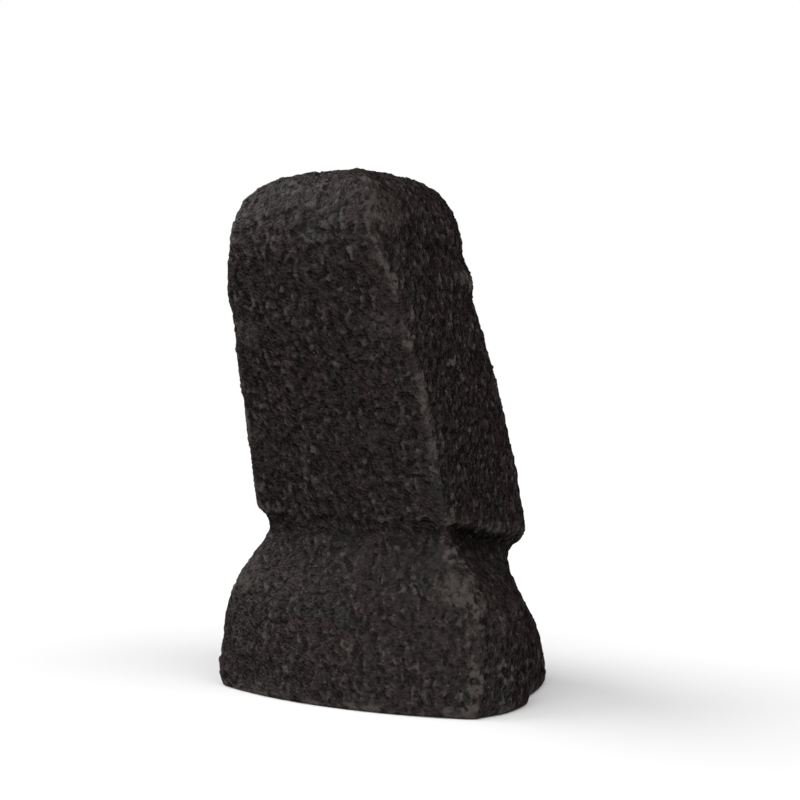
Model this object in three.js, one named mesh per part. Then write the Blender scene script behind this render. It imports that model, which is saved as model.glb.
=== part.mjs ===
// Moai head and shoulders, carved from one block of dark lava stone, standing on its own flat underside.
//
// Millimetres. +Z is up, the figure faces -Y, and its left side is +X. The origin is the centre of the
// underside. The whole figure is one loft: closed outlines, stacked from the underside to the crown, whose
// sizes run smoothly from one named station to the next. The face and the arms are relief on it.

import * as THREE from 'three';
import { LoftGeometry } from 'three/addons/geometries/LoftGeometry.js';

const { clamp, lerp, smoothstep } = THREE.MathUtils;

// Stone ------------------------------------------------------------------------------------------

const STONE = new THREE.MeshStandardMaterial( { color: 0x2e2927, roughness: 0.92, metalness: 0 } );

// Overall sizes ----------------------------------------------------------------------------------

const HEIGHT = 402; // underside to the top of the crown
const DOME_BASE = 346; // where the sides of the head start to round over into the crown
const DOME_CENTRE_Y = 56; // the highest point stands over the middle of the leaning head
const DOME_FLATNESS = 3.6; // exponents of the crown's profile, where 2 and 2 are an ellipse:
const DOME_STEEPNESS = 2; // more of the first flattens the top, and of the second squares the shoulder
const DOME_RINGS = 9;

// Stations, from the underside up ------------------------------------------------------------------
//
// zBack, zFront      height of the outline at its back and at its front, which differ where it tilts
// halfBack, back     the corner between the back and the side: half the width, and how far back it lies
// halfFront, front   the corner between the side and the front
// crownBack          how far the middle of the back swells past its corners
// crownFront         how far the middle of the front swells past its corners
// bulge              how far the middle of the side swells past a straight line
// roundBack          how much of each edge the back corner's rounding takes up
// roundFront         the same for the front corner
// rings              number of outlines from this station up to the next

const STATIONS = [
	{ name: 'sole', zBack: 0, zFront: 0, halfBack: 117, back: 75, halfFront: 95, front: - 83,
		crownBack: 23, crownFront: 8, bulge: 7, roundBack: 7, roundFront: 26, rings: 2 },
	{ name: 'plinth', zBack: 6, zFront: 6, halfBack: 119, back: 77, halfFront: 98, front: - 85,
		crownBack: 22, crownFront: 8, bulge: 7, roundBack: 7, roundFront: 26, rings: 3 },
	{ name: 'chest', zBack: 40, zFront: 38, halfBack: 119, back: 74.5, halfFront: 93.5, front: - 82,
		crownBack: 21, crownFront: 9, bulge: 7, roundBack: 7, roundFront: 26, rings: 3 },
	{ name: 'shoulder', zBack: 80, zFront: 66, halfBack: 114, back: 69, halfFront: 84, front: - 71,
		crownBack: 20, crownFront: 8, bulge: 7, roundBack: 10, roundFront: 26, rings: 3 },
	{ name: 'collar', zBack: 108, zFront: 84, halfBack: 101, back: 62, halfFront: 77, front: - 66,
		crownBack: 17, crownFront: 6, bulge: 2, roundBack: 14, roundFront: 24, rings: 2 },
	{ name: 'neck', zBack: 127, zFront: 97, halfBack: 84, back: 60, halfFront: 77, front: - 65,
		crownBack: 14, crownFront: 6, bulge: - 5, roundBack: 10, roundFront: 22, rings: 2 },
	{ name: 'crease', zBack: 139, zFront: 106, halfBack: 84, back: 63, halfFront: 76, front: - 72,
		crownBack: 13, crownFront: 8, bulge: - 6, roundBack: 7, roundFront: 20, rings: 2 },
	{ name: 'jawEdge', zBack: 143, zFront: 112, halfBack: 86, back: 68.5, halfFront: 75, front: - 95,
		crownBack: 9, crownFront: 12, bulge: 3, roundBack: 5, roundFront: 22, rings: 1 },
	{ name: 'jaw', zBack: 150, zFront: 126, halfBack: 87, back: 71, halfFront: 75, front: - 97,
		crownBack: 8, crownFront: 12, bulge: 3, roundBack: 5, roundFront: 22, rings: 16 },
	{ name: 'cheek', zBack: 229, zFront: 219, halfBack: 83.5, back: 93.5, halfFront: 73, front: - 59,
		crownBack: 9, crownFront: 8, bulge: 4, roundBack: 5, roundFront: 18, rings: 17 },
	{ name: 'brow', zBack: 312, zFront: 312, halfBack: 74.5, back: 122, halfFront: 66, front: - 15,
		crownBack: 9, crownFront: 6, bulge: 4, roundBack: 5, roundFront: 16, rings: 6 },
	{ name: 'temple', zBack: DOME_BASE, zFront: DOME_BASE, halfBack: 64, back: 134, halfFront: 61.5, front: - 11,
		crownBack: 6, crownFront: 8, bulge: 5, roundBack: 6, roundFront: 22, rings: 0 },
];

// Columns round one half of an outline ---------------------------------------------------------------

const BACK_COLUMNS = 5;
const CORNER_COLUMNS = 3;
const FRONT_COLUMNS = 15;
const ARM_EDGE = 0.46; // the arm's front edge, as a share of the side of the bust from its back corner
const EDGE_WIDTH = 0.04; // how far either side of that edge its slope reaches
const SIDE_STOPS = [ 0, 0.1, 0.2, 0.31, ARM_EDGE - EDGE_WIDTH, ARM_EDGE + EDGE_WIDTH, 0.62, 0.75, 0.88 ];

// Relief ------------------------------------------------------------------------------------------
//
// Heights are above the underside, and proud and depth are measured out of and into the plain surface.
// inner and outer are distances from the middle of the face; fades are the lengths of the slopes.

const ARM = { top: 104, shoulderFade: 34, proud: 9, start: 0.16 };
const BROW = { z: 317, proud: 10, above: 26, below: 7, sideProud: 6, sideStart: 0.72 };
const SOCKET = { top: 312, underBrow: 5, fade: 9, bottom: 258, inner: 11, outer: 59, depth: 13 };
const NOSE = { bridge: 304, tip: 226, halfBridge: 9, halfTip: 19, proudBridge: 9, proudTip: 25, fade: 7 };
const NOSTRIL = { z: 236, x: 17, halfHeight: 17, halfWidth: 12, proud: 8 };
const LIPS = { z: 194, halfWidth: 38, halfHeight: 20, proud: 13, partingDepth: 9, partingHalfHeight: 7 };
const CHIN = { z: 140, halfWidth: 46, halfHeight: 27, proud: 12 };

// Curves ------------------------------------------------------------------------------------------

// Smooth hump: 1 at the middle, 0 at and past the half width.
function hump( distance, halfWidth ) {

	const share = clamp( Math.abs( distance ) / halfWidth, 0, 1 );
	return ( 1 - share * share ) ** 2;

}

// Smooth band: 1 between low and high, falling to 0 over a fade outside each of them.
function band( value, low, high, fadeLow, fadeHigh ) {

	return smoothstep( value, low - fadeLow, low ) * ( 1 - smoothstep( value, high, high + fadeHigh ) );

}

// Catmull-Rom value between b and c, with a and d the values before and after them.
function spline( a, b, c, d, t ) {

	const slopeB = ( c - a ) / 2;
	const slopeC = ( d - b ) / 2;
	const cubic = 2 * b - 2 * c + slopeB + slopeC;
	const square = 3 * ( c - b ) - 2 * slopeB - slopeC;
	return ( ( cubic * t + square ) * t + slopeB ) * t + b;

}

// The heavy brow's strength at a height: a long slope above it and a short one below.
function browHeight( z ) {

	return band( z, BROW.z, BROW.z, BROW.below, BROW.above );

}

// The eye sockets, which run down from under the brow and fade out into the cheeks.
function socketRelief( x, z ) {

	const across = band( x, SOCKET.inner + SOCKET.fade, SOCKET.outer - SOCKET.fade, SOCKET.fade, SOCKET.fade );
	const down = smoothstep( z, SOCKET.bottom, SOCKET.top - SOCKET.fade );
	const underBrow = 1 - smoothstep( z, SOCKET.top - SOCKET.underBrow, SOCKET.top );
	return - SOCKET.depth * across * down * underBrow;

}

// The long nose, which widens and stands further out down to its tip, and is cut back under it.
function noseRelief( x, z ) {

	const down = clamp( ( NOSE.bridge - z ) / ( NOSE.bridge - NOSE.tip ), 0, 1 );
	const halfWidth = lerp( NOSE.halfBridge, NOSE.halfTip, down * down );
	const across = hump( x, halfWidth * 2 ) ** 2;
	const along = band( z, NOSE.tip, NOSE.bridge, NOSE.fade, NOSE.fade );
	const nostril = hump( z - NOSTRIL.z, NOSTRIL.halfHeight ) * hump( x - NOSTRIL.x, NOSTRIL.halfWidth );
	return ( lerp( NOSE.proudBridge, NOSE.proudTip, down ) * across + NOSTRIL.proud * nostril ) * along;

}

// The thin closed lips and the chin under them.
function mouthRelief( x, z ) {

	const across = Math.sqrt( hump( x, LIPS.halfWidth ) );
	const lips = LIPS.proud * hump( z - LIPS.z, LIPS.halfHeight );
	const parting = LIPS.partingDepth * hump( z - LIPS.z, LIPS.partingHalfHeight );
	const chin = CHIN.proud * hump( z - CHIN.z, CHIN.halfHeight ) * hump( x, CHIN.halfWidth );
	return ( lips - parting ) * across + chin;

}

// Relief of the face, outwards from the front of the head, at a distance x from the middle.
function faceRelief( x, z ) {

	return BROW.proud * browHeight( z ) + socketRelief( x, z ) + noseRelief( x, z ) + mouthRelief( x, z );

}

// Relief of the side, outwards, at a share t of the way from the back corner to the front corner.
function sideRelief( t, z ) {

	const armHeight = 1 - smoothstep( z, ARM.top - ARM.shoulderFade, ARM.top );
	const arm = ARM.proud * band( t, ARM.start, ARM_EDGE - EDGE_WIDTH, ARM.start, EDGE_WIDTH * 2 );
	const brow = BROW.sideProud * browHeight( z ) * smoothstep( t, BROW.sideStart, 1 );
	return armHeight * arm + brow;

}

// Outlines ----------------------------------------------------------------------------------------

// Relief shares: none of it, and all of it.
const none = () => 0;
const all = () => 1;

// Shares of a curve's length, evenly spaced from its start and short of its end.
function evenly( count ) {

	return Array.from( { length: count }, ( _, i ) => i / count );

}

// The point on the way from one point to another, at a distance from the first.
function towards( from, to, distance ) {

	return to.clone().sub( from ).setLength( distance ).add( from );

}

// One half of an outline, from the middle of the back round the figure's left side to mid-front.
function halfOutline( station ) {

	const backCorner = new THREE.Vector2( station.halfBack, station.back );
	const frontCorner = new THREE.Vector2( station.halfFront, station.front );
	const backMiddle = new THREE.Vector2( 0, station.back + station.crownBack );
	const frontMiddle = new THREE.Vector2( 0, station.front - station.crownFront );
	const backPull = new THREE.Vector2( station.halfBack / 2, backMiddle.y );
	const frontPull = new THREE.Vector2( station.halfFront / 2, frontMiddle.y );
	const sidePull = backCorner.clone().lerp( frontCorner, 0.5 );
	sidePull.x += station.bulge * 2;

	const backEnd = towards( backCorner, backPull, station.roundBack );
	const sideStart = towards( backCorner, sidePull, station.roundBack );
	const sideEnd = towards( frontCorner, sidePull, station.roundFront );
	const frontStart = towards( frontCorner, frontPull, station.roundFront );

	const points = [];
	const height = y => lerp( station.zFront, station.zBack,
		( y - frontMiddle.y ) / ( backMiddle.y - frontMiddle.y ) );

	// Adds the curve's points at the given shares of its length, moved out by the side's and the face's relief.
	const trace = ( start, pull, end, shares, side, face ) => {

		const curve = new THREE.QuadraticBezierCurve( start, pull, end );
		for ( const t of shares ) {

			const { x, y } = curve.getPoint( t );
			const z = height( y );
			points.push( new THREE.Vector3( x + side( t, z ), y - face( t ) * faceRelief( x, z ), z ) );

		}

	};

	const corner = evenly( CORNER_COLUMNS );
	trace( backMiddle, backPull, backEnd, evenly( BACK_COLUMNS ), none, none );
	trace( backEnd, backCorner, sideStart, corner, ( t, z ) => t * sideRelief( 0, z ), none );
	trace( sideStart, sidePull, sideEnd, SIDE_STOPS, sideRelief, none );
	trace( sideEnd, frontCorner, frontStart, corner, ( t, z ) => ( 1 - t ) * sideRelief( 1, z ), t => t );
	trace( frontStart, frontPull, frontMiddle, [ ...evenly( FRONT_COLUMNS ), 1 ], none, all );
	return points;

}

// A whole outline, closed: the right half, which mirrors the left, then the left half back to the start.
function outline( station ) {

	const left = halfOutline( station );
	const right = left.map( point => new THREE.Vector3( - point.x, point.y, point.z ) );
	return [ ...right, ...left.slice( 1, - 1 ).reverse() ];

}

// The sizes a share t of the way from one station to the next.
function between( index, t ) {

	const neighbours = [ - 1, 0, 1, 2 ].map( step => STATIONS[ clamp( index + step, 0, STATIONS.length - 1 ) ] );
	const sizes = {};
	for ( const key of Object.keys( STATIONS[ 0 ] ) ) {

		if ( key === 'name' || key === 'rings' ) continue;
		sizes[ key ] = spline( ...neighbours.map( station => station[ key ] ), t );

	}

	return sizes;

}

// The crown: the topmost outline, drawn in to a point over the middle of the head and lifted to full height.
function crownOutlines( base ) {

	const centre = new THREE.Vector2( 0, DOME_CENTRE_Y );
	const rings = [];
	for ( let i = 1; i <= DOME_RINGS; i ++ ) {

		const angle = ( i / ( DOME_RINGS + 0.5 ) ) * Math.PI / 2;
		const spread = Math.cos( angle ) ** ( 2 / DOME_FLATNESS );
		const lift = ( HEIGHT - DOME_BASE ) * Math.sin( angle ) ** ( 2 / DOME_STEEPNESS );
		rings.push( base.map( point => new THREE.Vector3(
			lerp( centre.x, point.x, spread ),
			lerp( centre.y, point.y, spread ),
			point.z + lift,
		) ) );

	}

	return rings;

}

// The figure --------------------------------------------------------------------------------------

// Splits the left half's four-sided cells along their other diagonal, so that the two halves mirror each
// other. A cell is two triangles, a b d and b c d.
function mirrorDiagonals( skin, rows, columns ) {

	const corners = skin.index.array;
	const cellLength = 6;
	for ( let row = 0; row < rows; row ++ ) {

		for ( let column = columns / 2; column < columns; column ++ ) {

			const start = ( row * columns + column ) * cellLength;
			const [ a, b, d, , c ] = corners.slice( start, start + cellLength );
			corners.set( [ a, b, c, a, c, d ], start );

		}

	}

}

function buildFigure() {

	const outlines = [];
	STATIONS.forEach( ( station, index ) => {

		for ( let i = 0; i < station.rings; i ++ ) outlines.push( outline( between( index, i / station.rings ) ) );

	} );
	const temple = outline( STATIONS[ STATIONS.length - 1 ] );
	outlines.push( temple, ...crownOutlines( temple ) );

	const skin = new LoftGeometry( outlines, { capStart: true, capEnd: true } );
	mirrorDiagonals( skin, outlines.length - 1, outlines[ 0 ].length );
	const mesh = new THREE.Mesh( skin, STONE );
	mesh.name = 'moai_statue';
	return mesh;

}

const statue = new THREE.Group();
statue.name = 'statue';
statue.add( buildFigure() );

export default statue;
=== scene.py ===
"""Moai head and shoulders in dark lava stone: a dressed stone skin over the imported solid, on a pale floor."""

import logging
import math
from dataclasses import dataclass, field
from enum import Enum
from typing import Protocol

import bmesh
import bpy
import numpy as np
from mathutils import Matrix, Vector, noise


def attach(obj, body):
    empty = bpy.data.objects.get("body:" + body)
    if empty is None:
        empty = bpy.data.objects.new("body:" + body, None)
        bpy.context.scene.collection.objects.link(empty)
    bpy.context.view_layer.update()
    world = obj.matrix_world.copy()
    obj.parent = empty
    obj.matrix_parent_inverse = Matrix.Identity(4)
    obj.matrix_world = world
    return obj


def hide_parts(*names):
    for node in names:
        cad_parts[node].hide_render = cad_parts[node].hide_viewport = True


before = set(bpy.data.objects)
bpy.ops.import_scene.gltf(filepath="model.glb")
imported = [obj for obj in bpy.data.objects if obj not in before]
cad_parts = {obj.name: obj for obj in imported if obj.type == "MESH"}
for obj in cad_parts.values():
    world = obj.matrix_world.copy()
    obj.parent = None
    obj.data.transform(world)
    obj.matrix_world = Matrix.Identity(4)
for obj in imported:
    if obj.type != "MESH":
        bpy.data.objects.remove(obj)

log = logging.getLogger("moai")

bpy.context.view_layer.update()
MM = 0.001
RUBBED_AWAY = 0.75  # share of the relief that goes where the stone is rubbed smooth
FLOOR_GAP = 0.3 * MM
FLOOR_HALF = 30.0


def mesh_points(mesh: bpy.types.Mesh) -> np.ndarray:
    """Reads a mesh's vertex places.

    Args:
        mesh: The mesh to read.

    Returns:
        One row of x, y and z in metres for each vertex.
    """
    points = np.empty(len(mesh.vertices) * 3)
    mesh.vertices.foreach_get("co", points)
    return points.reshape(-1, 3)


def mesh_normals(mesh: bpy.types.Mesh) -> np.ndarray:
    """Reads a mesh's vertex normals.

    Args:
        mesh: The mesh to read.

    Returns:
        One unit row for each vertex.
    """
    normals = np.empty(len(mesh.vertices) * 3)
    mesh.vertices.foreach_get("normal", normals)
    return normals.reshape(-1, 3)


def set_mesh_points(mesh: bpy.types.Mesh, points: np.ndarray) -> None:
    """Moves a mesh's vertices to new places.

    Args:
        mesh: The mesh to change.
        points: One row of x, y and z in metres for each vertex.
    """
    mesh.vertices.foreach_set("co", points.ravel())
    mesh.update()


def smooth_ramp(values: np.ndarray, start: float, end: float) -> np.ndarray:
    """Rises smoothly from 0 at start to 1 at end.

    Args:
        values: The values to map.
        start: Where the ramp leaves 0. It may be above end, and then the ramp falls.
        end: Where the ramp reaches 1.

    Returns:
        The ramp's height for each value.
    """
    share = np.clip((values - start) / (end - start), 0.0, 1.0)
    return share * share * (3.0 - 2.0 * share)


class Grain(Enum):
    """How a noise pattern is built up."""

    SMOOTH = "smooth"
    FRACTAL = "fractal"


@dataclass(frozen=True)
class Pattern:
    """A repeatable random pattern that fills space.

    Attributes:
        size: Length of one hump or cell, in metres.
        stretch: How much longer the humps are upwards than across.
        offset: Where in the endless pattern the statue sits.
    """

    size: float
    stretch: float = 1.0
    offset: float = 0.0

    def places(self, points: np.ndarray) -> list[Vector]:
        """Maps points in metres to the pattern's own space.

        Args:
            points: Places in metres, one row each.

        Returns:
            The same places, measured in humps.
        """
        scaled = points / self.size
        scaled[:, 2] /= self.stretch
        return [Vector(row) for row in scaled + self.offset]


@dataclass(frozen=True)
class Noise(Pattern):
    """Soft humps and hollows.

    Attributes:
        grain: How the pattern is built up.
        octaves: Layers of ever finer detail in a fractal pattern.
    """

    grain: Grain = Grain.SMOOTH
    octaves: int = 4

    def sample(self, points: np.ndarray) -> np.ndarray:
        """Samples the humps.

        Args:
            points: Places in metres, one row each.

        Returns:
            A value from about -1 to 1 for each place.
        """
        places = self.places(points)
        if self.grain is Grain.SMOOTH:
            return np.array([noise.noise(place) for place in places])
        return np.array([noise.fractal(place, 0.8, 2.0, self.octaves) for place in places])

    def bend(self, points: np.ndarray, reach: float) -> np.ndarray:
        """Moves places about, so that a pattern sampled there loses its regular look.

        Args:
            points: Places in metres, one row each.
            reach: How far a place may move, in metres.

        Returns:
            The moved places.
        """
        return points + reach * np.array([noise.noise_vector(place) for place in self.places(points)])


@dataclass(frozen=True)
class Facets(Pattern):
    """Small flat faces, each broken off at its own slant, as a pointed hammer leaves them."""

    def sample(self, points: np.ndarray) -> np.ndarray:
        """Samples the facets.

        Args:
            points: Places in metres, one row each.

        Returns:
            The height of the facet at each place, from about -1 to 1.
        """
        heights = np.empty(len(points))
        for index, place in enumerate(self.places(points)):
            middle = noise.voronoi(place)[1][0]
            slant = noise.cell_vector(middle * 37.7) * 2.0 - Vector((1.0, 1.0, 1.0))
            heights[index] = (place - middle).dot(slant) + 0.35 * slant.x
        return heights


@dataclass(frozen=True)
class Pores(Pattern):
    """Scattered open gas bubbles.

    Attributes:
        share: Share of the cells that hold a bubble.
    """

    share: float = 0.3

    def sample(self, points: np.ndarray) -> np.ndarray:
        """Samples the bubbles.

        Args:
            points: Places in metres, one row each.

        Returns:
            How deep in a bubble each place is, from 0 outside to 1 at the middle.
        """
        depths = np.empty(len(points))
        for index, place in enumerate(self.places(points)):
            distances, middles = noise.voronoi(place)
            open_here = noise.cell(middles[0] * 91.3) * 0.5 + 0.5 < self.share
            depths[index] = max(0.0, 1.0 - (distances[0] / 0.42) ** 2) if open_here else 0.0
        return depths


@dataclass
class Skin:
    """The stone's surface while it is worked.

    Attributes:
        points: Places on the plain surface in metres, one row each.
        normals: Which way the surface faces at each place.
        relief: How far the surface is to move out at each place, in metres.
        worn: How much wear each place shows, from 0 for rough stone to 1 for a smooth pale edge; along the
            arris it also carries painted highlight.
    """

    points: np.ndarray
    normals: np.ndarray
    relief: np.ndarray = field(init=False)
    worn: np.ndarray = field(init=False)

    def __post_init__(self) -> None:
        """Starts with a plain, unworn surface."""
        self.relief = np.zeros(len(self.points))
        self.worn = np.zeros(len(self.points))

    @property
    def heights(self) -> np.ndarray:
        """The places' heights above the underside, in metres."""
        return self.points[:, 2]

    def rub(self, share: np.ndarray) -> None:
        """Wears the surface smooth and pale.

        Args:
            share: How much of the roughness goes at each place, from 0 to 1.
        """
        self.relief *= 1.0 - RUBBED_AWAY * share
        self.worn = np.maximum(self.worn, share)

    def worked_points(self) -> np.ndarray:
        """Moves the places out by their relief, and never below the underside.

        Returns:
            The finished places in metres, one row each.
        """
        worked = self.points + self.normals * self.relief[:, None]
        worked[:, 2] = np.maximum(worked[:, 2], 0.0)
        return worked


class Mark(Protocol):
    """Anything that the mason or the weather has done to the surface."""

    def work(self, skin: Skin) -> None:
        """Adds the mark to the surface.

        Args:
            skin: The surface to change.
        """


@dataclass(frozen=True)
class Hammering:
    """The rough dressing all over: slow waves, slanting facets, crumbly grain and open bubbles.

    Attributes:
        wave: Height of the slow waves, in metres.
        lump: Height of the lumps between them, in metres.
        facet: Height of the broad facets, in metres.
        chip: Height of the small facets, in metres.
        crumb: Height of the crumbly grain, in metres.
        pore: Depth of the open bubbles, in metres.
    """

    wave: float = 1.3 * MM
    lump: float = 0.9 * MM
    facet: float = 0.65 * MM
    chip: float = 0.85 * MM
    crumb: float = 0.45 * MM
    pore: float = 0.9 * MM

    def work(self, skin: Skin) -> None:
        """Dresses the whole surface.

        Args:
            skin: The surface to change.
        """
        bent = Noise(13 * MM, offset=2.1).bend(skin.points, 2.5 * MM)
        skin.relief += self.wave * Noise(46 * MM, offset=11.3).sample(skin.points)
        skin.relief += self.lump * Noise(17 * MM, stretch=1.3, offset=31.7).sample(skin.points)
        skin.relief += self.facet * Facets(10 * MM, stretch=1.4, offset=21.9).sample(bent)
        skin.relief += self.chip * Facets(5.0 * MM, stretch=1.3, offset=5.1).sample(bent)
        skin.relief += self.crumb * Noise(5.0 * MM, stretch=1.2, offset=3.7, grain=Grain.FRACTAL).sample(bent)
        skin.relief -= self.pore * Pores(5.5 * MM, stretch=1.2, offset=8.8).sample(bent)


@dataclass(frozen=True)
class Arris:
    """The long edge between the back of the head and each side.

    Attributes:
        heights: Heights of the named points along the edge, from the jaw up to the crown, in metres.
        halves: How far the edge is from the middle plane at each of them, in metres.
        backs: How far back the edge is at each of them, in metres.
        lip: How far the smooth lip along the edge's upper part stands out, in metres.
        lip_foot: Height at which the lip ends, in metres.
        break_foot: Height at which the broken stretch under the lip ends, in metres.
        break_depth: How deep the broken stretch is, in metres.
        quirk: How far the shallow groove beside the edge lies from it, in metres.
        quirk_depth: How deep that groove is, in metres.
    """

    heights: tuple[float, ...] = (147 * MM, 229 * MM, 310 * MM, 364 * MM)
    halves: tuple[float, ...] = (86 * MM, 83 * MM, 73 * MM, 57 * MM)
    backs: tuple[float, ...] = (70 * MM, 93 * MM, 121 * MM, 136 * MM)
    lip: float = 1.3 * MM
    lip_foot: float = 301 * MM
    break_foot: float = 276 * MM
    break_depth: float = 1.6 * MM
    quirk: float = 8 * MM
    quirk_depth: float = 0.7 * MM

    def work(self, skin: Skin) -> None:
        """Raises the lip, breaks the edge under it, cuts the groove beside it and wears the rest in patches;
        the wear pales the lip and the patches, partly as painted highlight along the edge.

        Args:
            skin: The surface to change.
        """
        up = skin.heights
        aside = np.abs(skin.points[:, 0]) - np.interp(up, self.heights, self.halves)
        behind = skin.points[:, 1] - np.interp(up, self.heights, self.backs)
        reach = np.hypot(aside, behind)
        along = smooth_ramp(up, self.heights[0] - 4 * MM, self.heights[0] + 4 * MM)
        along *= smooth_ramp(up, self.heights[-1] + 6 * MM, self.heights[-1] - 2 * MM)

        upper = along * smooth_ramp(up, self.lip_foot - 6 * MM, self.lip_foot + 4 * MM)
        frayed = 0.75 + 0.5 * Noise(5 * MM, offset=63.8).sample(skin.points)
        # The lip is rubbed pale: partly wear, partly painted highlight along the edge.
        skin.rub(0.8 * upper * frayed * np.exp(-((reach / (2.4 * MM)) ** 2)))
        skin.relief += self.lip * upper * frayed * np.exp(-((reach / (1.9 * MM)) ** 2))

        broken = smooth_ramp(up, self.lip_foot + 2 * MM, self.lip_foot - 6 * MM)
        broken *= smooth_ramp(up, self.break_foot - 8 * MM, self.break_foot)
        skin.relief -= self.break_depth * broken * np.exp(-((reach / (5 * MM)) ** 2))

        groove = np.exp(-(((behind + self.quirk) / (3 * MM)) ** 2)) * smooth_ramp(aside, -6 * MM, -3 * MM)
        skin.relief -= self.quirk_depth * along * groove

        patches = smooth_ramp(Noise(11 * MM, stretch=1.6, offset=57.2).sample(skin.points), 0.05, 0.3)
        lower = along * (1.0 - upper) * patches
        # Pale rubbed patches down the lower edge: partly wear, partly painted highlight along the edge.
        skin.rub(0.5 * lower * np.exp(-((reach / (3 * MM)) ** 2)))


@dataclass(frozen=True)
class Rub:
    """A patch that hands or another stone have rubbed smooth.

    Attributes:
        centre: Middle of the patch, in metres. The same patch is on the other side of the middle plane.
        radius: Half its width, in metres.
        strength: How smooth it is, from 0 to 1.
    """

    centre: tuple[float, float, float]
    radius: float
    strength: float = 0.7

    def work(self, skin: Skin) -> None:
        """Smooths the patch.

        Args:
            skin: The surface to change.
        """
        mirrored = skin.points.copy()
        mirrored[:, 0] = -np.abs(skin.points[:, 0])
        reach = np.linalg.norm(mirrored - np.array(self.centre), axis=1)
        ragged = reach + 4 * MM * Noise(8 * MM, offset=71.4).sample(skin.points)
        skin.rub(self.strength * smooth_ramp(ragged, self.radius, 0.45 * self.radius))


@dataclass(frozen=True)
class FootEdge:
    """The foot of the stone: a smoother band just over the ground, with chips knocked off its edge.

    Attributes:
        band: Height of the smoother band, in metres.
        chip: Size of the chips, in metres.
        depth: Depth of the chips, in metres.
    """

    band: float = 7 * MM
    chip: float = 11 * MM
    depth: float = 1.8 * MM

    def work(self, skin: Skin) -> None:
        """Smooths the band and knocks off the chips.

        Args:
            skin: The surface to change.
        """
        upright = 1.0 - np.abs(skin.normals[:, 2])
        low = smooth_ramp(skin.heights, self.band * 1.4, self.band * 0.6)
        skin.relief *= 1.0 - 0.6 * low
        lumps = Noise(self.chip, offset=43.6).sample(skin.points)
        chips = smooth_ramp(lumps, 0.25, 0.4) * smooth_ramp(skin.heights, self.chip * 0.7, 0.0) * upright
        skin.relief -= self.depth * chips
        skin.worn = np.maximum(skin.worn, 0.8 * chips)


@dataclass(frozen=True)
class Crack:
    """A fine wavering crack across the back of the bust.

    Attributes:
        start: Where it starts, from the middle plane, in metres.
        end: Where it ends, from the middle plane, in metres.
        height: Its height above the underside, in metres.
        depth: How deep it is, in metres.
        fade: Length over which it dies away at each end, in metres.
    """

    start: float = 26 * MM
    end: float = 76 * MM
    height: float = 56 * MM
    depth: float = 1.1 * MM
    fade: float = 6 * MM

    def work(self, skin: Skin) -> None:
        """Opens the crack.

        Args:
            skin: The surface to change.
        """
        across = skin.points[:, 0]
        waver = 3 * MM * np.sin(across / (7 * MM)) + 2 * MM * np.sin(across / (3.1 * MM))
        reach = np.abs(skin.heights - self.height - waver)
        length = smooth_ramp(across, self.start, self.start + self.fade)
        length *= smooth_ramp(across, self.end, self.end - self.fade)
        behind = skin.normals[:, 1] > 0.5
        skin.relief -= self.depth * length * behind * np.exp(-((reach / (1.3 * MM)) ** 2))


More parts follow.
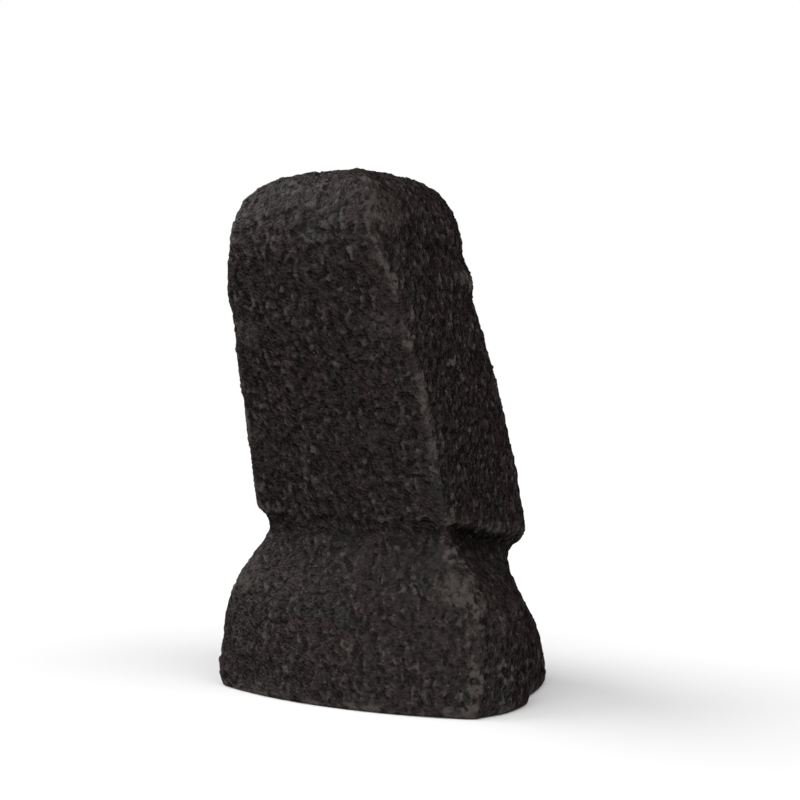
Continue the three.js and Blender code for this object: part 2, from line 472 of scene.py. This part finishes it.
@dataclass(frozen=True)
class LavaStone:
    """The finish of rough-pecked dark lava stone.

    Attributes:
        deep: Colour of painted shade in the hollows and in the low spots of the fine bump.
        body: Colour of most of the stone.
        plum: Colour of the reddish patches.
        ash: Colour of the grey patches.
        pale: Colour of grains paled by bruising and of worn places, and of painted highlight on the high places
            and along the arris and painted glints on the peaks of the fine bump.
        roughness: Roughness of the dry stone.
        sheen: How strongly the grains glint, where 0.5 is usual for minerals.
    """

    deep: tuple[float, float, float] = (0.0030, 0.0020, 0.0018)
    body: tuple[float, float, float] = (0.0150, 0.0103, 0.0094)
    plum: tuple[float, float, float] = (0.0175, 0.0096, 0.0098)
    ash: tuple[float, float, float] = (0.0128, 0.0120, 0.0106)
    pale: tuple[float, float, float] = (0.052, 0.044, 0.041)
    roughness: float = 0.50
    sheen: float = 0.13

    def material(self) -> bpy.types.Material:
        """Builds the node material.

        Returns:
            The material, ready to be put in a mesh's slot.
        """
        material = bpy.data.materials.new("lava_stone")
        material.use_nodes = True
        nodes = material.node_tree.nodes
        links = material.node_tree.links
        nodes.clear()
        output = nodes.new("ShaderNodeOutputMaterial")
        shader = nodes.new("ShaderNodeBsdfPrincipled")
        shader.inputs["Specular IOR Level"].default_value = self.sheen
        links.new(shader.outputs["BSDF"], output.inputs["Surface"])
        place = nodes.new("ShaderNodeTexCoord").outputs["Object"]

        def pattern(kind: str, scale: float, **settings: float) -> bpy.types.Node:
            """Adds a texture on Object coordinates and sets its named inputs."""
            texture = nodes.new(kind)
            links.new(place, texture.inputs["Vector"])
            texture.inputs["Scale"].default_value = scale
            for name, value in settings.items():
                texture.inputs[name].default_value = value
            return texture

        def ramp(source: bpy.types.NodeSocket, low: float, high: float) -> bpy.types.NodeSocket:
            """Maps a value to 0 at low and 1 at high."""
            node = nodes.new("ShaderNodeMapRange")
            node.interpolation_type = "SMOOTHSTEP"
            links.new(source, node.inputs["Value"])
            node.inputs["From Min"].default_value = low
            node.inputs["From Max"].default_value = high
            return node.outputs["Result"]

        def blend(
            share: bpy.types.NodeSocket,
            below: bpy.types.NodeSocket | tuple,
            above: bpy.types.NodeSocket | tuple,
        ) -> bpy.types.NodeSocket:
            """Mixes two colours by a share."""
            node = nodes.new("ShaderNodeMix")
            node.data_type = "RGBA"
            links.new(share, node.inputs["Factor"])
            for socket, colour in (("A", below), ("B", above)):
                slot = next(s for s in node.inputs if s.name == socket and s.type == "RGBA")
                if isinstance(colour, tuple):
                    slot.default_value = (*colour, 1.0)
                else:
                    links.new(colour, slot)
            return next(s for s in node.outputs if s.type == "RGBA")

        def attribute(name: str) -> bpy.types.NodeSocket:
            """Reads one of the values that the mesh stores at its points."""
            node = nodes.new("ShaderNodeAttribute")
            node.attribute_name = name
            return node.outputs["Fac"]

        def product(first: bpy.types.NodeSocket, second: bpy.types.NodeSocket) -> bpy.types.NodeSocket:
            """Multiplies two values."""
            node = nodes.new("ShaderNodeMath")
            node.operation = "MULTIPLY"
            links.new(first, node.inputs[0])
            links.new(second, node.inputs[1])
            return node.outputs["Value"]

        def bump(
            height: bpy.types.NodeSocket, distance: float, under: bpy.types.NodeSocket | None
        ) -> bpy.types.NodeSocket:
            """Tilts the surface by a height pattern whose full height is the distance, in metres."""
            node = nodes.new("ShaderNodeBump")
            node.inputs["Distance"].default_value = distance
            links.new(height, node.inputs["Height"])
            if under is not None:
                links.new(under, node.inputs["Normal"])
            return node.outputs["Normal"]

        mottle = pattern("ShaderNodeTexNoise", 260.0, Detail=3.0, Roughness=0.65).outputs["Fac"]
        clouds = pattern("ShaderNodeTexNoise", 17.0, Detail=4.0, Roughness=0.6).outputs["Fac"]
        drifts = pattern("ShaderNodeTexNoise", 24.0, Detail=4.0, Roughness=0.6, Distortion=0.6).outputs["Fac"]
        patches = pattern("ShaderNodeTexNoise", 60.0, Detail=3.0, Roughness=0.6).outputs["Fac"]
        grain = pattern("ShaderNodeTexNoise", 640.0, Detail=3.0, Roughness=0.6).outputs["Fac"]
        crystals = pattern("ShaderNodeTexVoronoi", 430.0).outputs["Distance"]

        colour = blend(ramp(clouds, 0.50, 0.66), self.body, self.plum)
        colour = blend(ramp(drifts, 0.52, 0.64), colour, self.ash)
        # Darkest in the low spots of the mottle, which also drives the fine bump: painted shade.
        colour = blend(ramp(mottle, 0.52, 0.34), colour, self.deep)
        # Darker where the surface lies below the stone around it: painted shade in the hollows.
        colour = blend(ramp(attribute("standing"), 0.05, -0.45), colour, self.deep)
        # Paler on the high places, in patches: partly bruising of the grains, partly painted highlight.
        bruised_and_highlit = product(ramp(attribute("standing"), 0.1, 0.9), ramp(patches, 0.40, 0.60))
        colour = blend(bruised_and_highlit, colour, self.pale)
        # Paler where the stone is worn; along the arris this is partly painted highlight.
        colour = blend(product(attribute("worn"), ramp(mottle, 0.36, 0.60)), colour, self.pale)
        # Pale flecks on the peaks of the mottle, which drives the fine bump: painted glints.
        colour = blend(ramp(mottle, 0.62, 0.72), colour, self.pale)
        links.new(colour, shader.inputs["Base Color"])

        rough = nodes.new("ShaderNodeMapRange")
        links.new(patches, rough.inputs["Value"])
        rough.inputs["From Min"].default_value = 0.3
        rough.inputs["From Max"].default_value = 0.7
        rough.inputs["To Min"].default_value = self.roughness - 0.1
        rough.inputs["To Max"].default_value = self.roughness + 0.1
        links.new(rough.outputs["Result"], shader.inputs["Roughness"])

        normal = bump(mottle, 0.0016, None)
        normal = bump(crystals, -0.0011, normal)
        normal = bump(grain, 0.0005, normal)
        links.new(normal, shader.inputs["Normal"])
        return material


@dataclass
class StoneFigure:
    """The carved stone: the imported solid's form with the mason's and the weather's marks in it.

    Attributes:
        node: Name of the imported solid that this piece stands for.
        finish: The stone.
        marks: The marks on its surface, in the order in which they were made.
        voxel: Spacing of the skin's points while it is worked, in metres.
        triangles: Most triangles that the finished skin may have.
        sole: Height under which the marks fade out, so that the underside stays flat, in metres.
        levelling: Rounds of smoothing that give the level which a point's height is measured from.
    """

    node: str
    finish: LavaStone
    marks: tuple[Mark, ...]
    voxel: float = 1.3 * MM
    triangles: int = 196_000
    sole: float = 3.0 * MM
    levelling: int = 8
    piece: bpy.types.Object = field(init=False)

    def build(self) -> bpy.types.Object:
        """Makes the stone and hands it over to the frame.

        Returns:
            The finished piece.
        """
        self.rough_out()
        self.refine()
        self.work_surface()
        self.thin()
        self.dress()
        return self.piece

    def rough_out(self) -> None:
        """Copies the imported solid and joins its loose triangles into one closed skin."""
        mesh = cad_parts[self.node].data.copy()
        mesh.name = "stone_figure"
        shell = bmesh.new()
        shell.from_mesh(mesh)
        bmesh.ops.remove_doubles(shell, verts=shell.verts, dist=0.01 * MM)
        shell.to_mesh(mesh)
        shell.free()
        mesh.materials.clear()
        self.piece = bpy.data.objects.new("stone_figure", mesh)
        bpy.context.scene.collection.objects.link(self.piece)

    def apply_modifiers(self) -> None:
        """Bakes the piece's modifiers into its mesh."""
        graph = bpy.context.evaluated_depsgraph_get()
        worked = bpy.data.meshes.new_from_object(self.piece.evaluated_get(graph))
        self.piece.modifiers.clear()
        self.piece.data = worked

    def refine(self) -> None:
        """Rounds the solid's facets off and spreads an even net of points over it."""
        rounding = self.piece.modifiers.new("rounding", "SUBSURF")
        rounding.levels = rounding.render_levels = 1
        self.apply_modifiers()
        net = self.piece.modifiers.new("net", "REMESH")
        net.mode = "VOXEL"
        net.voxel_size = self.voxel * 1.0
        net.use_smooth_shade = True
        self.apply_modifiers()
        log.info("stone net: %d points", len(self.piece.data.vertices))

    def work_surface(self) -> None:
        """Works the marks into the skin and stores how worn it is at each point, painted highlight along the
        arris included, for the finish to read.
        """
        mesh = self.piece.data
        skin = Skin(mesh_points(mesh), mesh_normals(mesh))
        for mark in self.marks:
            mark.work(skin)
        skin.relief *= smooth_ramp(skin.heights, 0.0, self.sole)
        set_mesh_points(mesh, skin.worked_points())
        mesh.attributes.new("worn", "FLOAT", "POINT").data.foreach_set("value", skin.worn)

    def thin(self) -> None:
        """Drops the points that the form doesn't need, down to the most triangles that the skin may have."""
        mesh = self.piece.data
        count = sum(len(face.vertices) - 2 for face in mesh.polygons)
        if count > self.triangles:
            thinning = self.piece.modifiers.new("thinning", "DECIMATE")
            thinning.ratio = self.triangles / count
            thinning.use_collapse_triangulate = True
            self.apply_modifiers()
        self.piece.data.shade_smooth()
        self.mark_heights()
        log.info("stone skin: %d triangles of %d", len(self.piece.data.polygons), count)

    def mark_heights(self) -> None:
        """Stores at each point how far it stands out of the stone around it, for the finish to read: it paints
        shade into the hollows and highlight onto the high places.
        """
        mesh = self.piece.data
        points = mesh_points(mesh)
        edges = np.empty(len(mesh.edges) * 2, dtype=np.int64)
        mesh.edges.foreach_get("vertices", edges)
        edges = edges.reshape(-1, 2)
        starts = np.concatenate((edges[:, 0], edges[:, 1]))
        ends = np.concatenate((edges[:, 1], edges[:, 0]))
        neighbours = np.bincount(starts, minlength=len(points))
        level = points.copy()
        for _ in range(self.levelling):
            sums = np.stack(
                [np.bincount(starts, level[ends, axis], len(points)) for axis in range(3)], axis=1
            )
            level = sums / neighbours[:, None]
        heights = ((points - level) * mesh_normals(mesh)).sum(axis=1) / MM
        mesh.attributes.new("standing", "FLOAT", "POINT").data.foreach_set("value", heights)

    def dress(self) -> None:
        """Puts the finish on the stone and ties it to the frame."""
        self.piece.data.materials.clear()
        self.piece.data.materials.append(self.finish.material())
        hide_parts(self.node)
        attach(self.piece, "root")


@dataclass
class Studio:
    """The pale floor, the soft light and the camera.

    Attributes:
        azimuth: Direction of the camera from the statue, in degrees, where 0 looks along +Y.
        distance: How far the camera stands from the statue's axis, in metres.
        eye: Height of the camera, in metres.
        aim: The point that the camera looks at, in metres.
        lens: Focal length for a frame 36 mm wide, in millimetres.
    """

    azimuth: float = 211.72
    distance: float = 1.161
    eye: float = 0.240
    aim: tuple[float, float, float] = (-0.0039, -0.0021, 0.2286)
    lens: float = 65.0

    def build(self) -> None:
        """Sets the whole studio up."""
        self.lay_floor()
        self.hang_lights()
        self.place_camera()

    def lay_floor(self) -> None:
        """Lays the pale floor just under the statue."""
        mesh = bpy.data.meshes.new("floor")
        sheet = bmesh.new()
        bmesh.ops.create_grid(sheet, x_segments=1, y_segments=1, size=FLOOR_HALF)
        sheet.to_mesh(mesh)
        sheet.free()
        mesh.transform(Matrix.Translation((0.0, 0.0, -FLOOR_GAP)))
        material = bpy.data.materials.new("floor")
        material.use_nodes = True
        shader = material.node_tree.nodes["Principled BSDF"]
        shader.inputs["Base Color"].default_value = (0.84, 0.84, 0.84, 1.0)
        shader.inputs["Roughness"].default_value = 0.9
        mesh.materials.append(material)
        floor = bpy.data.objects.new("floor", mesh)
        bpy.context.scene.collection.objects.link(floor)
        floor.visible_glossy = False

    def hang_lights(self) -> None:
        """Hangs one very broad light and three soft ones, in a room whose white walls shed no light."""
        world = bpy.data.worlds.new("studio")
        world.use_nodes = True
        world.node_tree.nodes["Background"].inputs["Color"].default_value = (1.0, 1.0, 1.0, 1.0)
        world.cycles_visibility.diffuse = False
        world.cycles_visibility.glossy = False
        bpy.context.scene.world = world
        self.hang("wall", turn=0.0, height=10.0, spread=160.0, power=4.0)
        self.hang("left", turn=-110.0, height=40.0, spread=50.0, power=2.0)
        self.hang("right", turn=50.0, height=45.0, spread=40.0, power=0.65)
        self.hang("key", turn=-30.0, height=60.0, spread=40.0, power=0.5)

    def hang(self, name: str, turn: float, height: float, spread: float, power: float) -> None:
        """Hangs one far-off soft light.

        Args:
            name: The light's name.
            turn: Direction of the light, in degrees to the right of the camera.
            height: How high it stands over the horizon, in degrees.
            spread: How wide it looks from the statue, in degrees.
            power: Its power on a surface that faces it, in watts per square metre.
        """
        light = bpy.data.lights.new(name, "SUN")
        light.angle = math.radians(spread)
        light.energy = power
        holder = bpy.data.objects.new(name, light)
        azimuth = math.radians(self.azimuth + turn)
        rise = math.radians(height)
        towards = Vector((
            math.sin(azimuth) * math.cos(rise),
            -math.cos(azimuth) * math.cos(rise),
            math.sin(rise),
        ))
        holder.rotation_euler = (-towards).to_track_quat("-Z", "Y").to_euler()
        bpy.context.scene.collection.objects.link(holder)

    def place_camera(self) -> None:
        """Stands the camera at eye height behind the statue's right shoulder."""
        lens = bpy.data.cameras.new("camera")
        lens.lens = self.lens
        lens.sensor_width = 36.0
        camera = bpy.data.objects.new("camera", lens)
        angle = math.radians(self.azimuth)
        camera.location = (self.distance * math.sin(angle), -self.distance * math.cos(angle), self.eye)
        gaze = Vector(self.aim) - camera.location
        camera.rotation_euler = gaze.to_track_quat("-Z", "Y").to_euler()
        bpy.context.scene.collection.objects.link(camera)
        bpy.context.scene.camera = camera


def main() -> None:
    """Builds the statue and the studio and reports each piece."""
    logging.basicConfig(level=logging.INFO, format="%(name)s: %(message)s")
    bpy.context.scene.view_settings.view_transform = "Standard"
    Studio().build()
    marks = (
        Hammering(),
        FootEdge(),
        Crack(),
        Rub(centre=(-96 * MM, 72 * MM, 91 * MM), radius=17 * MM),
        Rub(centre=(-60 * MM, 115 * MM, 282 * MM), radius=15 * MM, strength=0.4),
        Rub(centre=(-63 * MM, 110 * MM, 364 * MM), radius=22 * MM, strength=0.4),
        Arris(),
    )
    figure = StoneFigure(node="moai_statue", finish=LavaStone(), marks=marks)
    piece = figure.build()
    log.info("%s: %d triangles", piece.name, len(piece.data.polygons))


if __name__ == "__main__":
    main()
